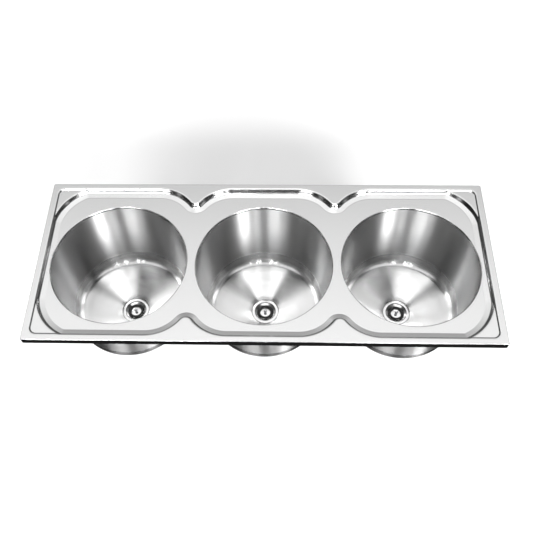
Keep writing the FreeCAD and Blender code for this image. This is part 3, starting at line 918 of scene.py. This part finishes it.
def rimSeal():
    # foam strip stuck under the rim, with soft edges
    low, high = boxOf("rim_seal")
    inset = deckShape["sheet"]
    outer = inset + sealStrip["wide"]
    section = eased([(inset, low[2]), (outer, low[2]), (outer, high[2]), (inset, high[2])],
                    sealStrip["edge"], 3)
    loops = [[(x, y, z) for x, y in rimLoop(d)] for d, z in section]
    count, rows = len(loops[0]), len(loops)
    faces = [(n * count + k, n * count + (k + 1) % count, (n + 1) % rows * count + (k + 1) % count,
              (n + 1) % rows * count + k) for n in range(rows) for k in range(count)]
    seal = faceOutwards(makeMesh("seal", [p for loop in loops for p in loop], faces))
    addPiece("rim_foam", seal, cellFoam, "root", "seal_foam", "rim_seal")


rails()
clips()
rimSeal()
print("fixings made")


# Lights are given by where they hang on a high ceiling: deep is from front to back; side is how far along
# the deck, or for lamps fanned out in front of the sink, how far each one points to the side.
studio = {
    "floor": "#a6a6a6", "floorGlow": 0.48, "backdropGlow": 0.9, "room": 0.03, "fanPoint": 0.535,
    "horizon": (0.04, 0.16),
    "ceiling": {
        "deck": {"side": (-1.1, -0.60, 0.42, 0.70), "deep": (0.24, 0.32, 0.36, 1.4), "power": 1.5},
        "back": {"side": (-4.0, -2.5, 2.5, 4.0), "deep": (0.9, 1.6, 8.0, 12.0), "power": 0.40},
        "edges": {"side": (-1.6, -1.0, 1.0, 1.6), "deep": (-1.0, -0.7, -0.45, -0.3), "power": 2.0},
        "rightEnd": {"side": (0.9, 1.1, 3.0, 4.0), "deep": (-0.2, 0.2, 1.2, 1.6), "power": 1.1},
        "leftEnd": {"side": (-4.0, -3.0, -1.1, -0.9), "deep": (-0.2, 0.2, 1.2, 1.6), "power": 0.7}},
    "floorPatch": {"side": (-0.50, -0.40, 0.40, 0.50), "deep": (0.02, 0.12, 0.22, 0.30), "power": 3.6},
    # each lamp: where it points, half its width, its power
    "streaks": {"deep": (-4.2, -3.2, -1.5, -1.1), "soft": (0.6, 1.6), "lamps": (
        (0.34, 0.08, 84.0), (-0.11, 0.025, 60.0), (-0.21, 0.03, 64.0), (-0.33, 0.03, 30.0),
        (0.12, 0.035, 40.0), (1.10, 0.10, 3.5), (-0.72, 0.07, 2.0))}}


def smooth(tree, value, start, end, first=0.0, last=1.0):
    values = {"From Min": start, "From Max": end, "To Min": first, "To Max": last}
    node = addNode(tree, "MapRange", {"interpolation_type": "SMOOTHSTEP"}, values, {"Value": value})
    return node.outputs["Result"]


def band(tree, value, edges):
    # 1 between the two middle edges, falling softly to 0 at the outer two
    rise = smooth(tree, value, edges[0], edges[1])
    return multiply(tree, rise, smooth(tree, value, edges[2], edges[3], 1.0, 0.0))


def studioWorld():
    world = bpy.data.worlds.new("studio")
    bpy.context.scene.world = world
    world.use_nodes = True
    tree = world.node_tree
    way = addNode(tree, "SeparateXYZ", links={"Vector": addNode(tree, "TexCoord").outputs["Generated"]})
    height = calculate(tree, "MAXIMUM", way.outputs["Z"], studio["horizon"][0])
    across = calculate(tree, "DIVIDE", way.outputs["X"], height)
    deep = calculate(tree, "DIVIDE", way.outputs["Y"], height)
    reach = calculate(tree, "ADD", multiply(tree, way.outputs["Y"], -1.0), studio["fanPoint"])
    fan = calculate(tree, "DIVIDE", way.outputs["X"], calculate(tree, "MAXIMUM", reach, 0.05))
    patch, streaks = studio["floorPatch"], studio["streaks"]
    lamps = [(across, lamp["side"], lamp["deep"], lamp["power"]) for lamp in studio["ceiling"].values()]
    lamps.append((fan, patch["side"], patch["deep"], patch["power"]))
    inner, outer = streaks["soft"]
    for at, half, power in streaks["lamps"]:
        edges = (at - outer * half, at - inner * half, at + inner * half, at + outer * half)
        lamps.append((fan, edges, streaks["deep"], power))
    total = None
    for sideways, sideEdges, deepEdges, power in lamps:
        light = multiply(tree, band(tree, sideways, sideEdges), band(tree, deep, deepEdges))
        light = multiply(tree, light, power)
        total = calculate(tree, "ADD", total, light) if total else light
    total = multiply(tree, total, smooth(tree, way.outputs["Z"], *studio["horizon"]))
    background = tree.nodes["Background"]
    tree.links.new(calculate(tree, "ADD", total, studio["room"]), background.inputs["Strength"])
    background.inputs["Color"].default_value = (1, 1, 1, 1)


def floorMaterial(glow):
    # matt white paper sweep with a slight glow of its own
    values = {"Roughness": 0.9, "Base Color": linear(studio["floor"]), "Emission Color": (1, 1, 1, 1),
              "Emission Strength": glow}
    return startMaterial("paperSweep", values)[0]


sweepShape = {"gap": 1.0, "reach": 12000.0, "round": 2000.0, "share": 0.7, "wall": 9000.0, "steps": 12,
              "count": 64}


def layFloor():
    # a flat floor under the sink, with a backdrop that rises all round it
    d = sweepShape
    low, reach, bend = cadLow.z / mm - d["gap"], d["reach"], d["round"]
    mesh = makeMesh("floor", [(x * reach, y * reach, low) for x, y in ((-1, -1), (1, -1), (1, 1), (-1, 1))],
                    [(0, 1, 2, 3)])
    mesh.materials.append(floorMaterial(studio["floorGlow"]))
    floor = bpy.data.objects.new("floor", mesh)
    start = reach * d["share"]
    profile = [(start + bend * math.sin(a), low + bend + 1 - bend * math.cos(a))
               for a in (math.pi / 2 * k / d["steps"] for k in range(d["steps"] + 1))]
    profile.append((start + bend, d["wall"]))
    points, faces, count = [], [], d["count"]
    for radius, height in profile:
        points += [(x, y, height) for x, y in roundAbout((0, 0), radius, 0, 360, count)[:-1]]
    for row in range(0, (len(profile) - 1) * count, count):
        for k in range(count):
            j = (k + 1) % count
            faces.append((row + k, row + j, row + count + j, row + count + k))
    sweep = makeMesh("sweep", points, faces)
    sweep.materials.append(floorMaterial(studio["backdropGlow"]))
    backdrop = bpy.data.objects.new("backdrop", sweep)
    for piece in (floor, backdrop):
        bpy.context.scene.collection.objects.link(piece)
        piece.visible_glossy = False
    backdrop.visible_diffuse = False
    backdrop.visible_shadow = False


studioWorld()
layFloor()
print("floor and light made")


cameraSetup = {"place": (0.043, -0.9725, 1.5495), "turn": (32.43, 1.40, 1.34), "lens": 47.33,
               "shift": (0.0176, -0.0156)}


def addCamera():
    data = bpy.data.cameras.new("camera")
    camera = bpy.data.objects.new("camera", data)
    bpy.context.scene.collection.objects.link(camera)
    camera.location = cameraSetup["place"]
    camera.rotation_euler = [math.radians(a) for a in cameraSetup["turn"]]
    data.lens = cameraSetup["lens"]
    data.shift_x, data.shift_y = cameraSetup["shift"]
    data.clip_end = 100.0
    bpy.context.scene.camera = camera


addCamera()
bpy.context.scene.view_settings.view_transform = "Standard"
print("camera made")
